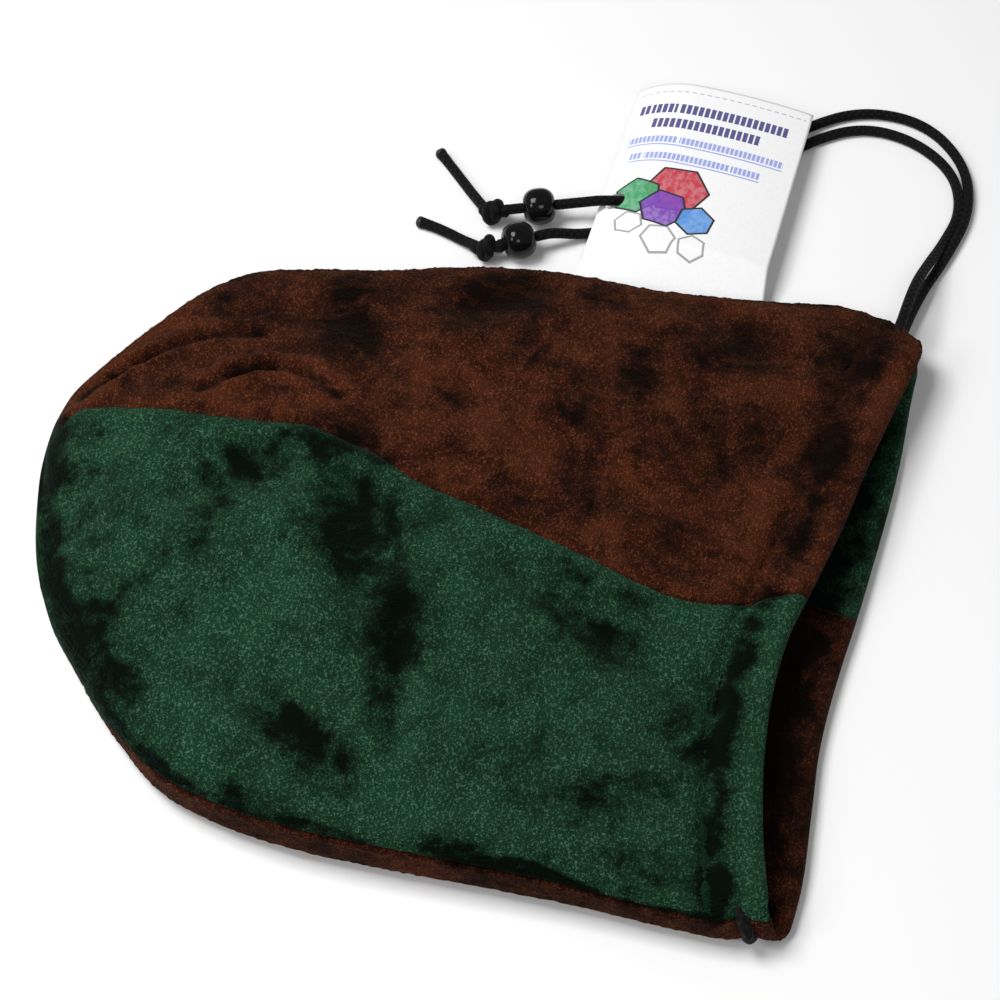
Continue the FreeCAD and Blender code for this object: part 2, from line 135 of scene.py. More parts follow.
# A closed tube along a line: each ring is the line's point plus its radius times the cosine of
# the turn sideways and the sine upwards, raised by the relief, with a point at each end.
def addTube(name, line, radius, around, relief):
    ahead, side, over = carryFrames(line)
    turn = np.linspace(0, 2 * math.pi, around, endpoint=False)
    far = farAlong(line)
    reach = np.broadcast_to(np.asarray(radius, float), len(line))[:, None]
    reach = reach * (1 + relief(turn[None, :], far[:, None]))
    spokes = side[:, None] * np.cos(turn)[:, None] + over[:, None] * np.sin(turn)[:, None]
    rings = line[:, None] + reach[..., None] * spokes
    bulge = 0.05
    ends = line[:1] - ahead[:1] * bulge, line[-1:] + ahead[-1:] * bulge
    points = np.concatenate([rings.reshape(-1, 3), *ends])
    uv = np.stack(np.broadcast_arrays(turn[None, :] / (2 * math.pi), far[:, None]), -1).reshape(-1, 2)
    uv = np.r_[uv, [(0.5, 0)], [(0.5, far[-1])]]
    count = len(line) * around
    ring = np.arange(around)
    following = (ring + 1) % around
    last = count - around
    caps = np.stack([np.r_[following, last + ring], np.r_[ring, last + following],
                     np.r_[np.full(around, count), np.full(around, count + 1)]], -1)
    quads = gridFaces(len(line), around, False, True)
    return addMesh(name, points, quads.tolist() + caps.tolist(), uv)


# A socket that takes part in sums: each operator adds its Math node and gives the node's output.
class Wire:
    def __init__(self, sheet, socket):
        self.sheet = sheet
        self.socket = socket

    def sum(self, kind, *others):
        return self.sheet.add("ShaderNodeMath", {"operation": kind}, dict(enumerate((self,) + others)))

    def __add__(self, other):
        return self.sum("ADD", other)

    def __sub__(self, other):
        return self.sum("SUBTRACT", other)

    def __mul__(self, other):
        return self.sum("MULTIPLY", other)

    def __rsub__(self, other):
        return self.sheet.add("ShaderNodeMath", {"operation": "SUBTRACT"}, {0: other, 1: self})

    __radd__ = __add__
    __rmul__ = __mul__

    # 0 up to the low value, 1 past the high one, eased between them
    def between(self, low, high):
        return self.sheet.add("ShaderNodeMapRange", {"interpolation_type": "SMOOTHSTEP"},
                              {"Value": self, "From Min": low, "From Max": high})

    # 1 where the value is over the limit, 0 elsewhere; under is the other way round
    def over(self, limit):
        return self.sum("GREATER_THAN", limit)

    def under(self, limit):
        return self.sum("LESS_THAN", limit)


# One material and its nodes. Values that are the same all over are set on the shader at the start.
class Finish:
    def __init__(self, name, **constants):
        self.material = bpy.data.materials.new(name)
        self.material.use_nodes = True
        self.nodes = self.material.node_tree.nodes
        self.links = self.material.node_tree.links
        self.shader = self.nodes["Principled BSDF"]
        for socket, value in constants.items():
            self.shader.inputs[socket.replace("_", " ")].default_value = value

    # links a wire to a socket, or sets a plain value
    def put(self, socket, value):
        if isinstance(value, Wire):
            self.links.new(value.socket, socket)
        else:
            socket.default_value = value

    # adds any node: its type, its settings, then its sockets
    def add(self, kind, settings=None, inputs=None, output=0):
        node = self.nodes.new(kind)
        for name, value in (settings or {}).items():
            setattr(node, name, value)
        for name, value in (inputs or {}).items():
            self.put(node.inputs[name], value)
        return Wire(self, node.outputs[output])

    # where a point lies on the object or on its UV map, turned or stretched if asked
    def coordinates(self, kind="Object", moved=None):
        lie = self.add("ShaderNodeTexCoord", output=kind)
        if moved:
            lie = self.add("ShaderNodeMapping", inputs={"Vector": lie, **moved})
        return lie

    def noise(self, vector, scale, detail=2.0, roughness=0.5, distortion=0.0):
        return self.add("ShaderNodeTexNoise", inputs={"Vector": vector, "Scale": scale, "Detail": detail,
                                                      "Roughness": roughness, "Distortion": distortion})

    # one colour where the factor is 0, the other where it is 1; colours are sockets 6, 7 and 2
    def mix(self, factor, first, second):
        return self.add("ShaderNodeMix", {"data_type": "RGBA"}, {0: factor, 6: first, 7: second}, output=2)

    def bump(self, height, distance, strength):
        return self.add("ShaderNodeBump", inputs={"Height": height, "Distance": distance,
                                                  "Strength": strength})

    # links what changes over the surface to the shader and gives the material
    def finish(self, **varying):
        for socket, value in varying.items():
            self.put(self.shader.inputs[socket.replace("_", " ")], value)
        return self.material


# Gives a piece its one material.
def clothe(piece, material):
    piece.data.materials.clear()
    piece.data.materials.append(material)
    return piece


cameraView = {
    "azimuth": 11.0,
    "elevation": 52.0,
    "distance": 0.70,
    "target": (0.0075, 0.0215, 0.0),
    "lens": 100.8,
}


# The camera stands back from its target by the distance, at the azimuth and elevation.
def addCamera():
    azimuth = math.radians(cameraView["azimuth"])
    elevation = math.radians(cameraView["elevation"])
    back = np.array([math.sin(azimuth) * math.cos(elevation), -math.cos(azimuth) * math.cos(elevation),
                     math.sin(elevation)])
    camera = bpy.data.cameras.new("camera")
    camera.lens = cameraView["lens"]
    camera.sensor_width = 36
    camera.clip_start = 0.01
    seat = bpy.data.objects.new("camera", camera)
    seat.location = np.array(cameraView["target"]) + back * cameraView["distance"]
    bpy.context.scene.collection.objects.link(seat)
    seat.rotation_mode = "XYZ"
    seat.rotation_euler = (math.pi / 2 - elevation, 0, azimuth)
    bpy.context.scene.camera = seat


addCamera()
print("camera in place")


cordSizes = {
    "diameter": 2.8,
    "ringStep": 0.45,
    "around": 18,
    "strands": 8,
    "strandLay": 4.6,
    "strandRelief": 0.03,
    "tailFlare": 0.1,
    "tipFlare": 1.17,
    "tipLength": 1.15,
}
upperRoute = [
    (100.56, 94, 2.9), (102.8, 107, 1.5), (109.2, 124, 1.4), (114, 142, 1.4), (111, 160, 1.4),
    (98.5, 174, 1.4), (80.5, 175.5, 1.4), (65, 165, 1.4), (53, 151.5, 1.4), (43, 139.5, 1.4),
    (31.5, 128.4, 1.4), (18.35, 122.70, 7.05), (8.9, 120.35, 6.20), (-9.97, 115.64, 4.50)]
lowerRoute = [
    (100.0, 92.2, 11.0), (101.4, 104, 9.6), (104.4, 116.5, 5.4), (107.9, 128.5, 1.6),
    (111.6, 141.5, 1.4), (108.2, 156, 1.4), (96.5, 166.2, 1.4), (82, 169.0, 1.4), (68.5, 161.3, 1.4),
    (57, 147.5, 1.4), (47, 135, 1.4), (36, 125, 1.4), (24.5, 119.3, 1.4), (13, 113.8, 1.4),
    (4.79, 109.46, 5.05), (2.14, 108.05, 5.05), (-8.63, 102.32, 5.05)]
upperTail = [(-14.2, 115.5, 3.3), (-18.5, 121, 1.9), (-23.5, 127.2, 1.5), (-28, 132.5, 1.5),
             (-31.4, 136.4, 1.5)]
lowerTail = [(-13, 101.9, 3.4), (-18, 104.6, 1.9), (-23.3, 107.3, 1.5), (-28, 109, 1.5),
             (-31.6, 109.8, 1.5)]


# Two families of strands that cross: a product of cosines of the turn and of the way along.
def braidRelief(turn, far):
    lay = 2 * math.pi * far / cordSizes["strandLay"]
    half = cordSizes["strands"] / 2
    return cordSizes["strandRelief"] * np.cos(half * turn + lay * 2) * np.cos(half * turn - lay * 2)


# A leg of the cord: a tube of even thickness along its route.
def addCord(name, route):
    line = nurbsLine(route, cordSizes["ringStep"])
    piece = addTube(name, line, cordSizes["diameter"] / 2, cordSizes["around"], braidRelief)
    return piece, line


cordUpper, upperLine = addCord("cordUpper", upperRoute)
cordLower, lowerLine = addCord("cordLower", lowerRoute)


# A tail's radius grows by a bell curve of what is left of it, so it flares at its sealed end.
def addTail(name, route):
    line = nurbsLine(route, cordSizes["ringStep"])
    far = farAlong(line)
    left = far[-1] - far
    radius = cordSizes["diameter"] / 2 * (1 + cordSizes["tailFlare"] * np.exp(-(left / 2.2) ** 2))
    return addTube(name, line, radius, cordSizes["around"], braidRelief)


# The sealed end: past its rim the radius is the rim's times the root of 1 less the share
# squared, a half ellipse, with a few lumps round it.
def addTip(name, route):
    line = nurbsLine(route, 0.1)
    ahead = (line[-1] - line[-3]) / np.linalg.norm(line[-1] - line[-3])
    share = np.sin(np.linspace(0, math.pi / 2, 12))
    reach = np.r_[-0.9, -0.3, cordSizes["tipLength"] * share[1:]]
    rim = cordSizes["diameter"] / 2 * cordSizes["tipFlare"]
    radius = np.r_[0.8 * rim, rim, rim * np.sqrt(1.0005 - share[1:] ** 2)]

    def lumps(turn, far):
        return 0.05 * np.sin(3 * turn + far * 2) + 0.03 * np.sin(5 * turn)

    return addTube(name, line[-1] + ahead * reach[:, None], radius, 20, lumps)


tailUpper = addTail("tailUpper", upperTail)
tailLower = addTail("tailLower", lowerTail)
tipUpper = addTip("tipUpper", upperTail)
tipLower = addTip("tipLower", lowerTail)

knotSizes = {
    "wrapRadius": 2.3,
    "strandRadius": 1.5,
    "turns": 1.55,
    "backtrack": 2.5,
}


# A knot: the strand goes on along the line and back by a sine, while it winds round the line at
# a spread that rises and falls as a half sine.
def addKnot(name, middle, entry, leaving, tilt):
    along = np.array(leaving) - np.array(entry)
    length = np.linalg.norm(along)
    along /= length
    side = np.cross(along, (0, 0, 1))
    side /= np.linalg.norm(side)
    over = np.cross(side, along)
    t = np.linspace(0, 1, 90)
    forward = (t - 0.5) * length + knotSizes["backtrack"] * np.sin(2 * math.pi * t)
    spread = knotSizes["wrapRadius"] * np.sin(math.pi * t) ** 0.9
    angle = 2 * math.pi * knotSizes["turns"] * ease(0.08, 0.92, t) + tilt
    line = (np.array(middle) + along * forward[:, None] + side * (spread * np.cos(angle))[:, None]
            + over * (spread * np.sin(angle))[:, None])
    line[0] = entry
    line[-1] = leaving
    return addTube(name, line, knotSizes["strandRadius"], cordSizes["around"], braidRelief)


knotUpper = addKnot("knotUpper", (-12.4, 115.2, 3.75), (-9.2, 115.7, 4.4), (-15.4, 116.8, 3.0), 0.4)
knotLower = addKnot("knotLower", (-11.6, 101.7, 3.85), (-7.8, 102.6, 4.6), (-15.0, 102.8, 3.1), 0.9)

beadSizes = {
    "diameter": 10.0,
    "length": 9.0,
    "bore": 3.4,
    "squareness": 2.55,
    "lip": 0.35,
    "around": 72,
}


# A superellipse turned about the bore: the shares of the half length and of the radius, each to
# a power, add up to one. A rounded lip leads into the bore.
def addBead(name, centre, axis):
    half = beadSizes["length"] / 2
    big = beadSizes["diameter"] / 2
    bore = beadSizes["bore"] / 2
    power = beadSizes["squareness"]
    bend = np.linspace(-math.pi / 2, math.pi / 2, 61)
    reach = half * np.sign(np.sin(bend)) * np.abs(np.sin(bend)) ** (2 / power)
    radius = big * np.abs(np.cos(bend)) ** (2 / power)
    lipSize = beadSizes["lip"]
    kept = radius > bore + lipSize
    endReach = reach[kept][-1]
    lip = np.linspace(0, math.pi / 2, 5)[1:]
    outer = np.c_[reach[kept], radius[kept]]
    lipTop = np.c_[endReach - 0.05 - 0.3 * (1 - np.cos(lip)), bore + lipSize * (1 - np.sin(lip))]
    inside = np.c_[np.linspace(endReach - 0.6, 0.6 - endReach, 9), np.full(9, bore)]
    lipBottom = lipTop[::-1] * (-1, 1)
    profile = np.concatenate([outer, lipTop, inside, lipBottom])
    axis = np.array(axis) / np.linalg.norm(axis)
    side = np.cross(axis, (0, 0, 1))
    side /= np.linalg.norm(side)
    over = np.cross(side, axis)
    turn = np.linspace(0, 2 * math.pi, beadSizes["around"], endpoint=False)
    spokes = side * np.cos(turn)[:, None] + over * np.sin(turn)[:, None]
    points = np.array(centre) + axis * profile[:, 0][:, None, None] + profile[:, 1][:, None, None] * spokes
    faces = gridFaces(len(profile), beadSizes["around"], True, True)[:, ::-1]
    return addMesh(name, points.reshape(-1, 3), faces.tolist())


beadUpper = addBead("beadUpper", (-0.5, 118.0, 5.35), (0.9666, 0.2410, 0.0872))
beadLower = addBead("beadLower", (-3.6, 105.0, 5.05), (0.8829, 0.4695, 0.0))
print("cords, knots and beads made")


bagSizes = {
    "poleX": -107.0,
    "poleY": 18.5,
    "poleHeight": 5.0,
    "roundEnd": 0.15,
    "farLength": 214.0,
    "nearLength": 199.0,
    "seamLength": 191.0,
    "meanLength": 200.0,
    "farCorner": 106.6,
    "nearCorner": 91.8,
    "foldHeight": 8.5,
    "cloth": 1.3,
    "casingPad": 4.6,
    "casingWidth": 11.0,
    "cordFromMouth": 5.2,
    "fullness": 0.62,
    "farSeamTurn": -0.26,
    "nearSeamTurn": -0.2,
    "nearSeamSwing": 0.29,
    "backSeamTurn": 0.02,
    "rows": 190,
    "columnStep": 0.0145,
}
# The two folds as seen from above, by the way along and the place across.
farEdge = [(0, bagSizes["poleY"]), (3.5, 30), (11, 42), (21, 55.5), (32, 67.5), (40, 73), (56, 77.4),
           (76, 80.8), (92, 85.2), (119, 88.6), (147, 88), (176, 90.8), (194, 93), (203, 91.6),
           (209, 89), (214, 85.8)]
nearEdge = [(0, bagSizes["poleY"]), (3.6, -6), (7, -18), (16, -38), (26, -51), (41, -68), (55, -80),
            (70, -85.6), (88, -88.8), (110, -90), (140, -90.6), (157, -91.3), (174, -92.6), (190, -93),
            (199, -91.5)]
# The lips of the mouth, by the place across and the place along.
frontMouth = [(-93, 89.6), (-86, 88.2), (-76, 86), (-66, 84.3), (-56, 83.1), (-46, 82.5), (-36, 82.3),
              (-26, 82.9), (-16, 84.2), (-5, 87), (7, 90), (20, 93), (38, 96.3), (51, 99), (66, 102.5),
              (77, 105), (86, 106.4), (93, 106.6)]
backMouth = [(-93, 94), (-80, 95.4), (-58, 95.3), (-40, 95), (-15, 97.2), (-2, 99), (15, 101),
             (48, 104.2), (78, 105.4), (93, 106.6)]
# The front seam and the top of the bag, by the way along.
frontSeam = [(0, 6), (5, 17), (12, 19.4), (23, 18.2), (43, 16.2), (55, 15.8), (67, 15.9), (76, 13.2),
             (85, 10.4), (93, 6.3), (106, 2.2), (122, -2.6), (143, -7.9), (160, -12.4), (172, -13.2),
             (180, -10.8), (187, -6.6), (197, -4.2)]
topHeights = [(0, 0), (3, 4.5), (8, 8), (20, 11.6), (45, 15), (90, 16.4), (130, 15.6), (170, 11.2),
              (192, 8.6), (214, 8.2)]
# Creases of the front: ends, half width, depth. The first eight also get painted shade along them and a
# painted highlight beside them.
shadedCreases = 8
creases = [
    (-100, 24, -94, 31, 1.8, 1.5), (-94, 31, -86, 37, 1.8, 1.9), (-86, 37, -74, 43, 1.8, 1.9),
    (-74, 43, -59, 46, 1.8, 1.2), (-68, 25, -61, 31, 1.6, 1.4), (-61, 31, -53, 34, 1.6, 1.7),
    (-53, 34, -44, 33, 1.6, 1.7), (-44, 33, -34, 27, 1.6, 1.2), (-62, -6, -46, 2, 7.0, 1.7),
    (-22, -8, -18, -24, 6.5, 1.8), (-4, -38, 0, -64, 3.0, 2.2), (-32, -62, 2, -82, 4.0, 1.8),
    (24, -18, 62, -36, 4.4, 2.0), (56, -20, 72, -28, 4.0, 1.2), (72, -34, 84, -44, 5.0, 1.4),
    (40, -72, 56, -70, 5.0, 1.2), (-40, 55, -28, 50, 6.0, 1.2), (56, 76, 66, 70, 6.0, 1.5),
    (-6, 66, 6, 76, 5.0, 1.4), (20, 20, 46, 14, 5.0, 1.0), (60, 4, 66, 30, 6.0, 0.9),
    (-20, 40, 18, 30, 7.0, 0.9)]
# Crushed patches of the front: middle, half length, half width, angle, strength.
darkPatches = [
    (-53, -1, 16, 9, 65, 0.85), (-23, -12, 19, 12, -76, 1.0), (-32, 12, 11, 8, 0, 0.8),
    (-73, 11, 5, 4, 0, 0.55), (-57, -23, 5, 3, -20, 0.5), (-5, -37, 15, 9, -77, 0.85),
    (-3, -60, 13, 6, -77, 0.85), (-21, -69, 18, 6, -25, 0.9), (-29, -86, 14, 4, -10, 0.6),
    (39, -28, 19, 8, -19, 0.9), (39, -16, 12, 4, -14, 0.55), (65, -46, 12, 12, 70, 0.65),
    (46, -69, 10, 5, 23, 0.75), (61, -84, 10, 5, -7, 0.5), (16, -89, 8, 4, 0, 0.65),
    (-68, -62, 26, 8, -58, 0.9), (20, -52, 8, 4, 20, 0.3), (-36, 54, 16, 11, -76, 1.0),
    (-10, 60, 10, 9, -77, 0.65), (0, 73, 13, 11, 12, 0.85), (26, 78, 11, 6, 12, 0.65),
    (59, 68, 17, 10, 13, 0.95), (86, 70, 12, 9, -87, 0.8), (37, 51, 11, 6, -81, 0.65),
    (86, 44, 17, 6, -84, 0.55), (44, 10, 13, 7, -10, 0.5), (-5, 32, 8, 4, -78, 0.55),
    (-71, 44, 14, 6, 18, 0.5), (20, 33, 9, 7, 12, 0.4), (-80, 31, 15, 8, 30, 0.6),
    (-58, 56, 22, 7, 12, 0.45), (-50, 40, 16, 5, 8, 0.45), (78, 20, 20, 5, -70, 0.35),
    (10, 52, 14, 6, -30, 0.35)]
# Slow waves of the front: heading, length, phase.
waves = np.random.default_rng(7)
waveTable = np.c_[waves.uniform(0, 2 * math.pi, 14), waves.uniform(26, 75, 14), waves.uniform(0, 6.28, 14)]


# A fold's place across at a share of its length. The line is drawn over the root of the way
# along, so that it leaves the round end square.
def edgeAt(stops, share, length):
    return smoothLine([(math.sqrt(x), y) for x, y in stops], np.sqrt(share * length))


# How far a share of the length lies from the mouth.
def mouthGap(share):
    return (1 - share) * bagSizes["meanLength"]


# Share of the way to the mouth for evenly spread rows: q squared near the round end, then straight.
def shareOf(q):
    soft = bagSizes["roundEnd"]
    return q * q * (1 + soft) / (q + soft)


# Where each seam lies round the bag, as an angle from the far fold over the front: the front
# seam's is the arc cosine of its place across over the half width.
def seamTurns(share):
    middle, half = sectionAt(share)[:2]
    far = np.full_like(share, bagSizes["farSeamTurn"])
    across = (smoothLine(frontSeam, share * bagSizes["seamLength"]) - middle) / np.maximum(half, 1e-6)
    across = np.where(share < 0.02, 0.2, across)
    front = np.arccos(np.clip(across, -0.95, 0.95))
    near = math.pi - (bagSizes["nearSeamTurn"] + bagSizes["nearSeamSwing"] * ease(0.12, 0.27, share))
    back = np.full_like(share, 1.5 * math.pi + bagSizes["backSeamTurn"])
    return far, front, near, back, far + 2 * math.pi


# The bag's middle line, half width, rise over the fold, the fold's height and the drop under it,
# at a share of its length: half the sum and half the difference of the folds, and eased heights.
def sectionAt(share):
    far = edgeAt(farEdge, share, bagSizes["farLength"])
    near = edgeAt(nearEdge, share, bagSizes["nearLength"])
    rise = smoothLine(topHeights, share * bagSizes["farLength"])
    fold = bagSizes["poleHeight"] + (bagSizes["foldHeight"] - bagSizes["poleHeight"]) * ease(0, 0.2, share)
    drop = (fold - 0.1) * ease(0.0, 0.05, share)
    return (far + near) / 2, (far - near) / 2, rise, fold, drop


# The bag's surface at an angle round it and a share of its length, sunk by a depth: across goes
# as the cosine, the top rises as a power of the sine, and the underside drops to the floor as
# the sine reaches a third. At the mouth the two lips meet at the corners.
def bagPoint(turn, share, depth, lip=0.0):
    middle, half, rise, fold, drop = sectionAt(share)
    over = np.sin(turn) > 0
    wave = np.abs(np.sin(turn))
    across = np.cos(turn)
    flat = np.clip(wave / 0.34, 0, 1)
    lift = np.where(over, np.maximum(rise - depth, 0) * wave ** bagSizes["fullness"],
                    -np.maximum(drop - depth, 0) * np.sin(flat * math.pi / 2) ** 0.7)
    width = np.maximum(half - depth, 0)
    y = middle + width * across
    z = fold + lift
    reach = middle + half * across
    mouth = np.where(over, smoothLine(frontMouth, reach), smoothLine(backMouth, reach))
    blendIn = ease(0, 0.25, wave)
    corner = np.where(across > 0, bagSizes["farCorner"], bagSizes["nearCorner"])
    mouth = corner * (1 - blendIn) + mouth * blendIn
    pad = 0.5 * bagSizes["casingPad"]
    x = bagSizes["poleX"] + (mouth - pad - bagSizes["poleX"]) * share + lip
    return x, y, z


# How far a point lies from a crease, whose line may run on past its ends by a share.
def offCrease(x, y, ends, past):
    x0, y0, x1, y1 = ends
    run = np.array([x1 - x0, y1 - y0], float)
    t = np.clip(((x - x0) * run[0] + (y - y0) * run[1]) / (run @ run), -past, 1 + past)
    return np.hypot(x - x0 - run[0] * t, y - y0 - run[1] * t)


# What is pressed into the front: sine waves, and for each crease a bell curve of the distance
# from it less a shallower one beside it, all fading at the folds.
def pressIn(x, y, wave):
    sunk = np.zeros_like(x)
    for heading, length, phase in waveTable:
        way = x * math.cos(heading) + y * math.sin(heading)
        sunk += 0.16 * np.sin(2 * math.pi * way / length + phase)
    for *ends, breadth, deep in creases:
        off = offCrease(x, y, ends, 0.15)
        sunk += deep * np.exp(-(off / breadth) ** 2)
        sunk -= 0.45 * deep * np.exp(-((off - 2.1 * breadth) / breadth) ** 2)
    return sunk * ease(0.1, 0.5, wave)


# How pale the pile is: 1 is pale, 0 is dark. Painted shade in bands along the folds and the round end,
# painted shade in the dark creases and in the casing's groove, and the velvet's own crushed patches each take
# their share away; painted highlights are added beside the creases and on the mouth's lip.
def crushToneAndShade(x, y, turn, share, inner):
    wave = np.where(np.sin(turn) > 0, np.sin(turn), 0)
    half = sectionAt(share)[1]
    # painted shade in bands along the folds and round the round end, where the top turns away; wider on the
    # near side towards the round end
    toFold = half * (1 - np.sqrt(1 - wave ** 2)) + 1.2 * np.sin(x / 7) + np.sin(y / 5 + x / 11)
    toEnd = x - bagSizes["poleX"] + 1.5 * np.sin(y / 9) + np.sin(y / 3.1)
    nearSide = np.cos(turn) < 0
    nearShadeBand = 1.4 + 10.0 * (1 - ease(-84, -58, x)) + 14 * (1 - ease(-101, -84, x))
    foldShadeBand = np.where(nearSide, nearShadeBand, 1.6)
    endShadeBand = 1.5 + 10.5 * (1 - ease(13, 22, y))
    lean = 0.08 + 0.92 * ease(0.5, 1.35, np.minimum(toFold / foldShadeBand, toEnd / endShadeBand))
    # painted shade in each crease and a painted highlight on the ridge beside it
    for crease in creases[:shadedCreases]:
        off = offCrease(x, y, crease[:4], 0)
        lean *= 1 - 0.95 * np.exp(-(off / 1.5) ** 2)
        lean += 0.3 * np.exp(-((off - 3.8) / 1.8) ** 2)
    for cx, cy, wide, tall, angle, strength in darkPatches:
        c, s = math.cos(math.radians(angle)), math.sin(math.radians(angle))
        along = ((x - cx) * c + (y - cy) * s) / wide
        across = ((y - cy) * c - (x - cx) * s) / tall
        lean *= 1 - strength * (1 - ease(0.2, 1.5, np.hypot(along, across)))
    toMouth = mouthGap(share)
    # painted shade along the groove of the casing's stitches, weaker on the far half
    bandMiddle = 9.5 - 2.5 * ease(-80, -10, y) + 0.6 * np.sin(y / 3.3)
    grooveShade = np.exp(-((toMouth - bandMiddle) / 4.3) ** 2)
    lean *= 1 - grooveShade * (1.0 - 0.4 * ease(-12, 0, y))
    # painted highlight along the mouth's lip
    lean += 0.4 * np.exp(-((toMouth - 1.0) / 2.6) ** 2)
    lean = np.where(turn >= seamTurns(share)[2] - 1e-6, 0.75 + 0.12 * np.sin(x / 5), lean)
    # inside the mouth: painted shade, paler towards the far side and at the lip
    return np.where(inner, 0.02 + 0.35 * ease(6, 16, y) + 0.45 * np.exp(-(toMouth / 3.0) ** 2), lean)


rowShare = shareOf(np.linspace(0, 1, bagSizes["rows"]))
lipTurn = np.linspace(0, math.pi, 9)[1:-1]


# One cut of cloth between two seams: the outer face, the lip at the mouth, which is a half
# circle of the cloth's thickness, and the inner face back to the round end, closed along both
# seams. Bell curves of the distance sink the seams and the casing's groove, and sines make the
# puckers, gathers and ripples.
def addGore(name, index):
    turns = seamTurns(rowShare)
    start, end = turns[index], turns[index + 1]
    columns = int(np.max(end - start) / bagSizes["columnStep"]) + 1
    u = np.linspace(0, 1, columns)
    rows = bagSizes["rows"]
    share = np.r_[rowShare, np.ones(len(lipTurn)), rowShare[::-1]]
    first = np.r_[start, np.full(len(lipTurn), start[-1]), start[::-1]]
    last = np.r_[end, np.full(len(lipTurn), end[-1]), end[::-1]]
    turn = first[:, None] + (last - first)[:, None] * u
    shares = share[:, None] * np.ones(columns)
    way = np.r_[np.zeros(rows), lipTurn, np.full(rows, math.pi)][:, None] * np.ones(columns)
    wave = np.abs(np.sin(turn))
    over = np.sin(turn) > 0
    toMouth = mouthGap(shares)
    pad = bagSizes["casingPad"] * (0.45 + 0.55 * ease(0.05, 0.3, wave))
    groove = np.exp(-((toMouth - bagSizes["casingWidth"]) / 2.1) ** 2)
    inCasing = 1 - ease(bagSizes["casingWidth"] - 3, bagSizes["casingWidth"] + 1.5, toMouth)
    thick = bagSizes["cloth"] + (pad - bagSizes["cloth"]) * inCasing
    thick = np.minimum(thick, 0.5 + 60 * shares)
    sink = thick * (1 - np.cos(way)) / 2
    lip = np.sin(way) * thick / 2
    x, y, z = bagPoint(turn, shares, sink, lip)
    outside = way < math.pi / 2
    seamGap = np.minimum(u, 1 - u)[None, :] * (last - first)[:, None] * np.maximum(sectionAt(shares)[1], 3)
    seamDip = 0.85 * np.exp(-(seamGap / 1.5) ** 2) - 0.3 * np.exp(-((seamGap - 3.4) / 2.2) ** 2)
    pucker = 0.16 * np.sin(x / 1.15 + 1.3 * np.sin(x / 9)) * np.exp(-(seamGap / 4) ** 2)
    gather = 0.22 * np.sin(y / 1.3 + np.sin(y / 6)) * np.exp(-((toMouth - bagSizes["casingWidth"]) / 5) ** 2)
    ripple = 0.35 * np.sin(y / 4.2 + 1.4 * np.sin(y / 13)) * np.exp(-(toMouth / 9) ** 2)
    toPole = x - bagSizes["poleX"]
    poleFolds = 0.7 * np.sin(turn * 9) * np.exp(-(toPole / 9) ** 2) * ease(0, 3, toPole)
    sunk = pressIn(x, y, wave) * ease(0, 0.1, shares) * (1 - 0.6 * inCasing)
    dip = sunk + 1.9 * groove + (seamDip + pucker) * ease(0, 0.05, shares) + gather + ripple + poleFolds
    side = np.cos(turn) * (1 - ease(0.2, 0.6, wave))
    downward = np.where(over, 1.0, -0.15) * ease(0.0, 0.3, wave) * np.where(outside | over, 1.0, 0.3)
    z = z - np.where(outside, dip, sunk + 0.3 * groove) * downward
    pinch = 1.5 * np.exp(-((toMouth - bagSizes["cordFromMouth"]) / 2.4) ** 2) * (np.cos(turn) < 0)
    away = np.where(outside, 1.0, -0.35)
    y = y + pinch * side ** 2
    y = y - 0.8 * (seamDip * ease(0, 0.05, shares) + 0.5 * ripple + 0.4 * gather) * side * away
    fuzz = np.random.default_rng(20 + index).normal(0, 0.13, x.shape) * ease(0.02, 0.06, shares)
    fuzz[:, 0] = 0
    fuzz[:, -1] = 0
    z = np.maximum(z + fuzz * np.where(over, 1, 0.2), 0.06)
    y = y + fuzz * side
    points = np.stack([x, y, z], -1).reshape(-1, 3)
    total = len(share)
    faces = gridFaces(total, columns, True, False)
    row = np.arange(rows + len(lipTurn) // 2)
    mate = total - 1 - row
    strip = np.stack([row[:-1], row[1:], mate[1:], mate[:-1]], -1)
    seams = np.concatenate([strip * columns, (strip * columns + columns - 1)[:, ::-1]])
    faces = np.concatenate([faces, seams])[:, ::-1]
    piece = addMesh(name, points, faces.tolist(), np.stack([turn * 0.06, shares * 0.2], -1).reshape(-1, 2))
    # the pile's tone, with its painted shade and painted highlights, is stored on each point
    lean = crushToneAndShade(x, y, turn, shares, ~outside)
    layer = piece.data.attributes.new("crushToneAndShade", "FLOAT", "POINT")
    layer.data.foreach_set("value", lean.astype(np.float32).ravel())
    inside = piece.data.attributes.new("lining", "FLOAT", "POINT")
    deep = np.where(outside, 0.0, ease(bagSizes["casingWidth"] - 2, bagSizes["casingWidth"] + 1, toMouth))
    inside.data.foreach_set("value", deep.astype(np.float32).ravel())
    return piece


frontBrown = addGore("frontBrown", 0)
frontGreen = addGore("frontGreen", 1)
backBrown = addGore("backBrown", 2)
backGreen = addGore("backGreen", 3)
print("gores made", [len(g.data.polygons) for g in (frontBrown, frontGreen, backBrown, backGreen)])

threadSizes = {
    "radius": 0.17,
    "pitch": 2.7,
    "gap": 0.5,
    "sunk": 1.25,
    "sunkFront": 2.75,
    "sunkBack": -0.35,
    "around": 6,
}


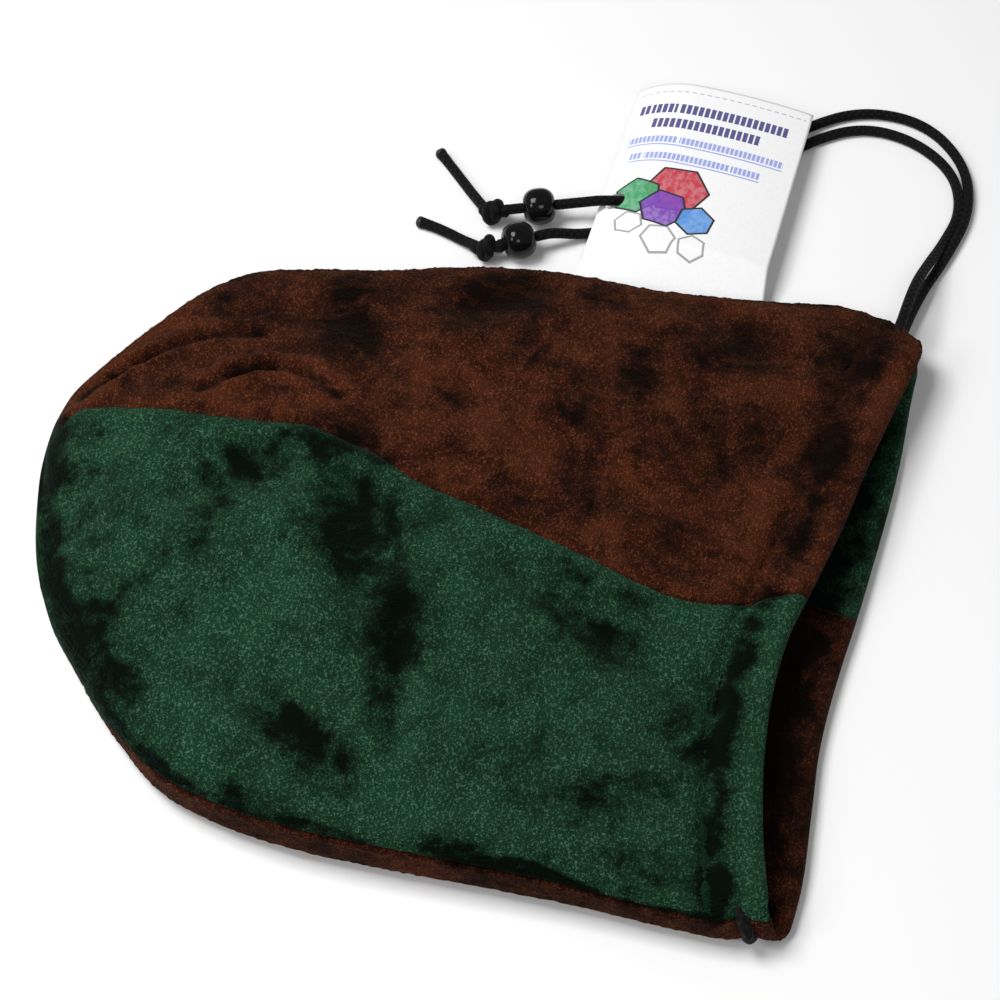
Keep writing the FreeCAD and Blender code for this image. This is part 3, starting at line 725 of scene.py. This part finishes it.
# Stitches along a line: each is a six-sided capsule, whose radius swells from a small share to the
# whole and back, and whose ends dip into the cloth. Two quads close each end.
def addStitches(name, line):
    far = farAlong(line)
    count = int(far[-1] / threadSizes["pitch"])
    starts = np.arange(count) * threadSizes["pitch"]
    steps = np.array([0.0, 0.08, 0.5, 0.92, 1.0])
    swell = np.array([0.15, 0.8, 1.0, 0.8, 0.15]) * threadSizes["radius"]
    hump = np.array([-0.25, 0.0, 0.12, 0.0, -0.25])
    at = starts[:, None] + steps * (threadSizes["pitch"] - threadSizes["gap"])
    centre = np.stack([np.interp(at, far, line[:, k]) for k in range(3)], -1)
    ahead = centre[:, -1:] - centre[:, :1]
    ahead /= np.linalg.norm(ahead, axis=-1)[..., None]
    side = np.cross(ahead, (0, 0, 1))
    side /= np.linalg.norm(side, axis=-1)[..., None]
    up = np.cross(side, ahead)
    around = threadSizes["around"]
    turn = np.linspace(0, 2 * math.pi, around, endpoint=False)
    spokes = side[:, :, None] * np.cos(turn)[:, None] + up[:, :, None] * np.sin(turn)[:, None]
    rings = (centre + up * hump[:, None])[:, :, None] + swell[:, None, None] * spokes
    wall = gridFaces(len(steps), around, False, True)
    caps = [[2, 1, 0, 5], [2, 5, 4, 3], [24, 25, 26, 29], [26, 27, 28, 29]]
    first = (np.arange(count) * len(steps) * around)[:, None, None]
    faces = [(one + first).reshape(-1, 4) for one in (wall, np.array(caps))]
    return addMesh(name, rings.reshape(-1, 3), np.concatenate(faces).tolist())


# The line of a seam on the bag's surface, sunk into the cloth and pressed in with it.
def seamLine(index, low, high):
    share = np.linspace(low, high, 260)
    turn = seamTurns(share)[index]
    x, y, z = bagPoint(turn, share, threadSizes["sunk"])
    return np.stack([x, y, z - pressIn(x, y, np.abs(np.sin(turn))) * (np.sin(turn) > 0)], -1)


# The line of the casing's stitches, a casing's width from the mouth, lowered by a depth.
def casingLine(low, high, sunk):
    turn = np.linspace(low, high, 260)
    share = np.full_like(turn, 1 - bagSizes["casingWidth"] / bagSizes["meanLength"])
    x, y, z = bagPoint(turn, share, 0.0)
    return np.stack([x, y, z - sunk], -1)


threads = {
    "front_seam_thread": addStitches("frontSeamThread", seamLine(1, 0.04, 0.985)),
    "near_side_seam_thread": addStitches("nearSideSeamThread", seamLine(2, 0.04, 0.985)),
    "back_seam_thread": addStitches("backSeamThread", seamLine(3, 0.04, 0.985)),
    "far_side_seam_thread": addStitches("farSideSeamThread", seamLine(0, 0.04, 0.985)),
    "front_casing_stitching": addStitches("frontCasingStitching", casingLine(0.3, math.pi - 0.35,
                                                                             threadSizes["sunkFront"])),
    "back_casing_stitching": addStitches("backCasingStitching", casingLine(math.pi + 0.4, 2 * math.pi - 0.4,
                                                                           threadSizes["sunkBack"])),
}


# The cord inside the casing follows the bag's own surface, sunk into the casing,
# and comes out of the cloth only at the near fold, where it turns back.
def addCasingCord():
    turn = np.linspace(0.2, 2 * math.pi - 0.2, 46)
    share = np.full_like(turn, 1 - bagSizes["cordFromMouth"] / bagSizes["meanLength"])
    bare = np.exp(-((turn - math.pi) / 0.17) ** 2)
    x, y, z = bagPoint(turn, share, 2.7 - 3.0 * bare)
    z = np.where(turn < math.pi, z - 0.4, np.maximum(z, 2.9))
    line = np.stack([x + 1.0 * bare, y - 1.0 * bare, z], -1)
    route = [lowerRoute[0]] + [tuple(p) for p in line] + [upperRoute[0]]
    return addTube("casingCord", nurbsLine(route, 0.6), cordSizes["diameter"] / 2, 14, braidRelief)


casingCord = addCasingCord()
print("threads and casing cord made")


tagSizes = {
    "length": 76.2,
    "shoulder": 18.5,
    "flat": 32.3,
    "thickness": 0.35,
    "hole": 6.0,
    "inset": 5.0,
    "curl": 42.0,
    "flatness": 7,
    "lowCurl": 2.0,
    "lowEdge": 0.1,
    "lean": 4.5,
    "top": 46.0,
    "bend": -14.0,
    "edgeHeight": 3.1,
    "holePlace": (19.412, 122.965),
}


# Along the card the curl fades from the bend to the bottom edge, where the card lies almost flat.
def tagPoint(across, along, extra):
    bottom = tagSizes["top"] - tagSizes["length"]
    fade = np.clip((tagSizes["bend"] - along) / (tagSizes["bend"] - bottom), 0, 1)
    full = np.stack(tagSection(across, extra, math.radians(tagSizes["curl"]), tagSizes["edgeHeight"]))
    low = np.stack(tagSection(across, extra, math.radians(tagSizes["lowCurl"]), tagSizes["lowEdge"]))
    return full * (1 - fade) + low * fade


# Across the card: an arc rises from the left edge to the crown, then one of seven times its
# radius falls away. A place across is a length along these arcs.
def tagSection(across, extra, curl, edge):
    shoulder = tagSizes["shoulder"] / curl
    rest = tagSizes["flatness"] * shoulder
    crownX = shoulder * math.sin(curl)
    crownZ = edge + shoulder * (1 - math.cos(curl))
    before = across < tagSizes["shoulder"]
    a = np.where(before, curl - across / shoulder, 0)
    b = np.where(before, 0, (across - tagSizes["shoulder"]) / rest)
    x = crownX - np.where(before, (shoulder + extra) * np.sin(a), -(rest + extra) * np.sin(b))
    z = crownZ + np.where(before, (shoulder + extra) * np.cos(a) - shoulder,
                          (rest + extra) * np.cos(b) - rest)
    return x, z


# The card in its own flat measures: rays go out from the hole to the card's edges, and the rings
# between run from the hole's radius to the edge's. The top face, then the bottom face inwards.
def addTag():
    width = tagSizes["shoulder"] + tagSizes["flat"]
    cx, cy = tagSizes["inset"], 0.0
    top, bottom = tagSizes["top"], tagSizes["top"] - tagSizes["length"]
    around = 240
    rings = 70
    turn = np.linspace(0, 2 * math.pi, around, endpoint=False)
    c, s = np.cos(turn), np.sin(turn)
    toSide = np.where(c > 0, (width - cx) / np.maximum(c, 1e-9), cx / np.maximum(-c, 1e-9))
    toEnd = np.where(s > 0, (top - cy) / np.maximum(s, 1e-9), (cy - bottom) / np.maximum(-s, 1e-9))
    edge = np.minimum(toSide, toEnd)
    t = np.linspace(0, 1, rings)[:, None] ** 1.3
    hole = tagSizes["hole"] / 2
    radius = hole + (edge - hole) * t
    across = np.clip(cx + radius * c, 0, width)
    along = np.clip(cy + radius * s, bottom, top)
    layers = []
    for extra in (tagSizes["thickness"], 0.0):
        x, z = tagPoint(across, along, extra)
        layers.append(np.stack([x, along, z], -1))
    holeX = tagPoint(np.array([cx]), np.array([cy]), 0.0)[0, 0]
    place = np.concatenate([layers[0], layers[1][::-1]])
    lean = -math.radians(tagSizes["lean"])
    px, py = place[..., 0] - holeX, place[..., 1]
    turned = np.stack([px * math.cos(lean) - py * math.sin(lean) + tagSizes["holePlace"][0],
                       px * math.sin(lean) + py * math.cos(lean) + tagSizes["holePlace"][1],
                       place[..., 2]], -1)
    uv = np.stack([np.concatenate([across, across[::-1]]) / width,
                   (np.concatenate([along, along[::-1]]) - bottom) / tagSizes["length"]], -1)
    faces = gridFaces(2 * rings, around, True, True)
    piece = addMesh("tagCard", turned.reshape(-1, 3), faces.tolist(), uv.reshape(-1, 2))
    onFace = np.arange(2 * rings) % rings != rings - 1
    piece.data.polygons.foreach_set("use_smooth", np.repeat(onFace, around))
    printed = piece.data.attributes.new("printed", "FLOAT", "POINT")
    printed.data.foreach_set("value", np.repeat([1.0, 0.0], rings * around).astype(np.float32))
    return piece


tagCard = addTag()
print("tag made")


velvetLook = {
    "pileNap": 1500.0,
    "stipple": 2300.0,
    "patches": 45.0,
    "mottle": 170.0,
}


# Crushed velvet: the pile's tone, which holds painted shade and highlights along with the crushed patches,
# and two noises choose between a dark and a pale tone;
# fine flecks are painted glints where the pile catches the light, and the same noises raise the bump.
def makeVelvet(name, dark, middle, pale, fleck, flecks, crush, sheenTint):
    cloth = Finish(name, Metallic=0.0, Sheen_Weight=0.05, Sheen_Roughness=0.4, Sheen_Tint=sheenTint,
                   Specular_IOR_Level=0.05)
    place = cloth.coordinates()
    # the pile's tone with its painted shade and painted highlights
    lean = cloth.add("ShaderNodeAttribute", {"attribute_name": "crushToneAndShade"}, output="Fac")
    lining = cloth.add("ShaderNodeAttribute", {"attribute_name": "lining"}, output="Fac")
    patches = cloth.noise(place, velvetLook["patches"], 4.0, 0.62, 1.0)
    mottle = cloth.noise(place, velvetLook["mottle"], 3.0, 0.6)
    slanted = cloth.coordinates("Object", {"Rotation": (0.0, 0.0, 0.7), "Scale": (1.0, 0.6, 1.0)})
    nap = cloth.noise(slanted, velvetLook["pileNap"], 2.0, 0.7)
    stipple = cloth.noise(place, velvetLook["stipple"], 1.0, 0.5)
    tone = lean + (patches - 0.5) * crush + (mottle - 0.5) * 2.0
    base = cloth.mix(tone.between(-0.02, 0.85), dark, middle)
    base = cloth.mix(tone.between(0.6, 1.6), base, pale)
    # painted glints: fine flecks where the pile catches the light, stronger on the paler tone
    paintedGlint = (nap * 0.5 + stipple * 0.5).between(0.49, 0.65) * tone.between(-0.1, 1.2)
    base = cloth.mix(paintedGlint * flecks, base, fleck)
    base = cloth.mix(lining, base, middle)
    rough = 0.95 - paintedGlint * 0.2
    relief = nap * 0.6 + mottle * 0.5 + stipple * 0.5
    normal = cloth.bump(relief, 0.0011, 0.8)
    return cloth.finish(Base_Color=base, Roughness=rough, Normal=normal)


# Each velvet: dark, middle and pale tones, the colour and share of its painted glints, the crush and the
# sheen tint.
greenVelvet = makeVelvet("greenVelvet", (0.0008, 0.0024, 0.0012, 1), (0.0050, 0.0215, 0.0100, 1),
                         (0.0078, 0.034, 0.0150, 1), (0.052, 0.140, 0.080, 1), 0.85, 2.8,
                         (0.35, 0.8, 0.55, 1))
brownVelvet = makeVelvet("brownVelvet", (0.0026, 0.0009, 0.0006, 1), (0.0170, 0.0042, 0.0019, 1),
                         (0.050, 0.0120, 0.0045, 1), (0.165, 0.050, 0.020, 1), 0.6, 3.2, (0.8, 0.45, 0.3, 1))


# Fine black braid: crossing strands in the cord's own measures, with dull grey flecks.
def makeBraid():
    braid = Finish("braidedCord", Metallic=0.0, Sheen_Weight=0.03, Sheen_Roughness=0.5,
                   Specular_IOR_Level=0.12)
    place = braid.coordinates("UV")
    plies = []
    for slope in (1.0, -1.0):
        lie = braid.add("ShaderNodeMapping", inputs={"Vector": place, "Scale": (8.0 * slope, 0.9, 1.0)})
        plies.append(braid.add("ShaderNodeTexWave", {"wave_type": "BANDS", "bands_direction": "DIAGONAL"},
                               {"Vector": lie, "Scale": 0.32, "Distortion": 0.6, "Detail": 1.0}, output=1))
    fibre = braid.noise(braid.coordinates(), 1500.0, 2.0, 0.6)
    weave = plies[0] * plies[1] + fibre * 0.5
    colour = braid.mix(weave.between(0.3, 1.2), (0.0013, 0.0013, 0.0014, 1), (0.0062, 0.0062, 0.0066, 1))
    normal = braid.bump(weave, 0.0003, 0.8)
    return braid.finish(Base_Color=colour, Roughness=0.86 - fibre * 0.2, Normal=normal)


# Melted cord: a lumpy dark grey, rougher where it is paler.
def makeSealed():
    sealed = Finish("sealedTip", Metallic=0.0, Specular_IOR_Level=0.5)
    place = sealed.coordinates()
    lumps = sealed.noise(place, 700.0, 3.0, 0.6)
    colour = sealed.mix(lumps, (0.004, 0.004, 0.0042, 1), (0.020, 0.019, 0.018, 1))
    normal = sealed.bump(lumps, 0.0003, 0.6)
    return sealed.finish(Base_Color=colour, Roughness=0.35 + lumps * 0.35, Normal=normal)


# Gloss black with faint clouds and fine scuffs along the bead.
def makeGloss():
    gloss = Finish("blackBead", Metallic=0.0, Specular_IOR_Level=0.2)
    place = gloss.coordinates()
    cloud = gloss.noise(place, 260.0, 3.0, 0.5)
    scuffs = gloss.noise(gloss.coordinates("Object", {"Scale": (1.0, 6.0, 1.0)}), 500.0, 4.0, 0.7)
    colour = gloss.mix(cloud, (0.0022, 0.0022, 0.0024, 1), (0.0065, 0.0065, 0.007, 1))
    rough = 0.10 + scuffs.between(0.55, 0.8) * 0.12
    return gloss.finish(Base_Color=colour, Roughness=rough, Normal=gloss.bump(cloud, 0.0002, 0.15))


# Dark thread with a fine uneven twist.
def makeThread():
    thread = Finish("sewingThread", Metallic=0.0, Sheen_Weight=0.0, Specular_IOR_Level=0.05)
    twist = thread.noise(thread.coordinates(), 2400.0, 1.0, 0.5)
    colour = thread.mix(twist, (0.0015, 0.0013, 0.001, 1), (0.006, 0.005, 0.004, 1))
    normal = thread.bump(twist, 0.0002, 0.6)
    return thread.finish(Base_Color=colour, Roughness=0.8 - twist * 0.15, Normal=normal)


# Printed card: boxes in the card's own measures. Rows of plain dashes stand where words would be.
def makeCard():
    card = Finish("tagCard", Metallic=0.0, Specular_IOR_Level=0.3)
    across = card.add("ShaderNodeSeparateXYZ", inputs={"Vector": card.coordinates("UV")})
    upward = Wire(card, across.socket.node.outputs[1])
    front = card.add("ShaderNodeAttribute", {"attribute_name": "printed"}, output="Fac")
    fibre = card.noise(card.coordinates(), 900.0, 3.0, 0.6)
    colour = card.mix(fibre, (0.80, 0.80, 0.81, 1), (0.90, 0.90, 0.905, 1))

    # 1 inside four sides
    def box(left, right, low, high):
        return across.over(left) * across.under(right) * upward.over(low) * upward.under(high)

    # a box cut into marks, some left out by a noise, like words in a line
    def dashes(left, right, low, high, count, seed):
        cell = card.add("ShaderNodeCombineXYZ", inputs={0: across * count + seed, 1: 0.0, 2: 0.0})
        word = card.noise(cell, 1.0, 1.0, 0.5)
        marks = card.add("ShaderNodeMath", {"operation": "FRACT"}, {0: across * count * 1.15})
        return box(left, right, low, high) * word.over(0.36) * marks.under(0.74)

    # lays a tint over the printed face
    def ink(where, tint):
        nonlocal colour
        colour = card.mix(where * front, colour, tint)

    # dice drawn as hexagons: three pairs of parallel sides bound each one
    def hexagon(cx, cy, size, spin):
        inside = None
        ring = None
        for k in range(3):
            angle = spin + k * math.pi / 3
            reach = (across - cx) * math.cos(angle) + (upward * 1.5 - cy * 1.5) * math.sin(angle)
            reach = reach.sum("ABSOLUTE")
            step = reach.under(size)
            core = reach.under(size - 0.012)
            inside = step if inside is None else inside * step
            ring = core if ring is None else ring * core
        return inside, inside - ring

    purple = (0.10, 0.09, 0.24, 1)
    blue = (0.32, 0.38, 0.72, 1)
    ink(dashes(0.06, 0.90, 0.845, 0.892, 26.0, 3.0), purple)
    ink(dashes(0.16, 0.76, 0.768, 0.815, 26.0, 9.0), purple)
    ink(dashes(0.06, 0.92, 0.690, 0.722, 36.0, 17.0), blue)
    ink(box(0.06, 0.92, 0.676, 0.682), blue)
    ink(dashes(0.10, 0.82, 0.605, 0.637, 36.0, 23.0), blue)
    ink(box(0.10, 0.82, 0.591, 0.597), blue)
    dash = card.add("ShaderNodeMath", {"operation": "FRACT"}, {0: across * 24.0})
    ink(box(0.03, 0.97, 0.955, 0.960) * dash.under(0.6), (0.45, 0.45, 0.48, 1))
    filled = [
        (0.42, 0.465, 0.155, 0.6, (0.50, 0.035, 0.06, 1)), (0.22, 0.415, 0.120, 0.2, (0.05, 0.32, 0.13, 1)),
        (0.38, 0.365, 0.120, 0.35, (0.19, 0.06, 0.42, 1)), (0.56, 0.335, 0.095, 0.9, (0.09, 0.28, 0.66, 1))]
    for cx, cy, size, spin, tint in filled:
        inside, rim = hexagon(cx, cy, size, spin)
        shaded = card.noise(card.coordinates("UV"), 30.0, 2.0, 0.6).between(0.35, 0.65)
        ink(inside * (0.84 + shaded * 0.15), tint)
        ink(rim, (0.03, 0.03, 0.035, 1))
    outlined = [(0.22, 0.28, 0.075, 0.3), (0.40, 0.225, 0.085, 0.7), (0.58, 0.215, 0.072, 0.1)]
    for cx, cy, size, spin in outlined:
        inside, rim = hexagon(cx, cy, size, spin)
        ink(rim * 0.7, (0.12, 0.12, 0.13, 1))
    return card.finish(Base_Color=colour, Roughness=0.62 + fibre * 0.12, Normal=card.bump(fibre, 0.0001, 0.3))


braidedCord = makeBraid()
sealedTip = makeSealed()
blackBead = makeGloss()
sewingThread = makeThread()
printedCard = makeCard()
print("finishes made")


# Each gore and thread takes its finish in place of the model's parts, which are hidden; each rider hangs from
# its body.
gores = {"front_brown": (frontBrown, brownVelvet, "brown_velvet"),
         "front_green": (frontGreen, greenVelvet, "green_velvet"),
         "back_brown": (backBrown, brownVelvet, "brown_velvet"),
         "back_green": (backGreen, greenVelvet, "green_velvet")}
for node, (piece, material, slot) in gores.items():
    clothe(piece, material)
    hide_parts(node + "_panel", node + "_hem")
    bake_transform(piece)
for node, piece in threads.items():
    clothe(piece, sewingThread)
    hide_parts(node)
    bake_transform(piece)
riders = {
    "drawstring_in_casing": (casingCord, braidedCord, "black_cord", "drawstring"),
    "cord_upper": (cordUpper, braidedCord, "black_cord", "drawstring"),
    "cord_lower": (cordLower, braidedCord, "black_cord", "drawstring"),
    "knot_upper": (knotUpper, braidedCord, "black_cord", "drawstring"),
    "knot_lower": (knotLower, braidedCord, "black_cord", "drawstring"),
    "tail_upper": (tailUpper, braidedCord, "black_cord", "drawstring"),
    "tail_lower": (tailLower, braidedCord, "black_cord", "drawstring"),
    "tip_upper": (tipUpper, sealedTip, "sealed_tip", "drawstring"),
    "tip_lower": (tipLower, sealedTip, "sealed_tip", "drawstring"),
    "bead_upper": (beadUpper, blackBead, "black_bead", "upper_bead"),
    "bead_lower": (beadLower, blackBead, "black_bead", "lower_bead"),
    "hang_tag": (tagCard, printedCard, "tag_card", "tag"),
}
for node, (piece, material, slot, body) in riders.items():
    clothe(piece, material)
    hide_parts(node)
    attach(piece, body)


stageSizes = {
    "floor": 3.0,
    "floorColour": (0.86, 0.86, 0.86, 1),
    "sky": 0.22,
    "aim": (0.0, 0.02, 0.0),
}


# A flat pale sheet just under the bag.
def addFloor():
    reach = stageSizes["floor"] * 1000
    corner = [(-reach, -reach, -0.05), (reach, -reach, -0.05), (reach, reach, -0.05), (-reach, reach, -0.05)]
    floor = addMesh("floor", corner, [(0, 1, 2, 3)], smooth=False)
    paper = Finish("paleFloor", Roughness=0.9, Specular_IOR_Level=0.1)
    paper.finish(Base_Color=stageSizes["floorColour"])
    floor.data.materials.append(paper.material)


lights = [
    # name, place, size, power
    ("overhead", (-0.48, 0.0, 0.95), 0.5, 10.5),
    ("leftFront", (-0.75, -0.6, 0.8), 0.35, 3.2),
    ("rightFront", (0.3, -0.75, 0.9), 0.35, 2.2),
]


# Square lamps that face the aim, and an even white sky.
def addLights():
    for name, place, width, power in lights:
        lamp = bpy.data.lights.new(name, "AREA")
        lamp.shape = "SQUARE"
        lamp.size = width
        lamp.energy = power
        seat = bpy.data.objects.new(name, lamp)
        seat.location = place
        aim = np.array(stageSizes["aim"]) - np.array(place)
        seat.rotation_mode = "XYZ"
        seat.rotation_euler = (math.acos(-aim[2] / np.linalg.norm(aim)), 0,
                               math.atan2(aim[1], aim[0]) - math.pi / 2)
        bpy.context.scene.collection.objects.link(seat)
    world = bpy.data.worlds.new("studio")
    world.use_nodes = True
    world.node_tree.nodes["Background"].inputs["Color"].default_value = (1, 1, 1, 1)
    world.node_tree.nodes["Background"].inputs["Strength"].default_value = stageSizes["sky"]
    bpy.context.scene.world = world
    bpy.context.scene.view_settings.view_transform = "Standard"


addFloor()
addLights()
print("floor and lights in place")
